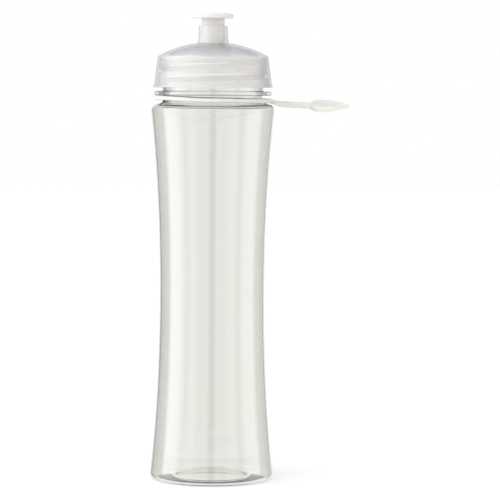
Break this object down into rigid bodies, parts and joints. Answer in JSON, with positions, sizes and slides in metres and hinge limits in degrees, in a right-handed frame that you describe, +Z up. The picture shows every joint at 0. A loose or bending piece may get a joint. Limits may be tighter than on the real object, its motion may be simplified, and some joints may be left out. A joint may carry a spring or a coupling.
{
  "type": "sports squeeze bottle",
  "caption": "Clear waisted sports bottle with a domed screw lid, a push-pull drinking valve and a swivelling neck strap that ends in a finger loop.",
  "frame": {"origin": "on the standing plane, at the centre of the outline seen from above with the strap; the bottle's own axis is the vertical line x = -0.021775 m, y = 0", "axes": "+Z up along the bottle's axis, +X from the bottle towards the finger loop of the strap, -Y towards a viewer who sees the loop on the right"},
  "size_m": [0.1162, 0.0728, 0.2742],
  "materials": {
    "clear_copolyester": "clear, smooth, very slightly green",
    "frosted_polypropylene": "milky translucent, fine satin",
    "soft_seal": "matte white",
    "valve_polyethylene": "warm white, satin",
    "strap_polyethylene": "cream, slightly translucent, satin"
  },
  "bodies": {
    "bottle": {"bottle": "clear_copolyester"},
    "gasket": {"lid_gasket": "soft_seal"},
    "lid": {"lid": "frosted_polypropylene"},
    "valve": {"push_pull_valve": "valve_polyethylene"},
    "strap": {"carry_strap": "strap_polyethylene"}
  },
  "joints": [
    {"name": "lid_lift", "type": "slide", "parent": "bottle", "child": "gasket", "axis": [0, 0, 1], "range_m": [0, 0.0254]},
    {"name": "lid_turn", "type": "hinge", "parent": "gasket", "child": "lid", "pos_m": [-0.02177, 0, 0.24], "axis": [0, 0, 1], "range_deg": [0, 1440]},
    {"name": "valve_slide", "type": "slide", "parent": "lid", "child": "valve", "axis": [0, 0, 1], "range_m": [-0.004, 0]},
    {"name": "strap_swivel", "type": "hinge", "parent": "bottle", "child": "strap", "pos_m": [-0.02177, 0, 0.2232], "axis": [0, 0, 1], "continuous": true}
  ],
  "couplings": [
    {"joint": "lid_turn", "follows": "lid_lift", "rad_per_m": 989.47}
  ]
}
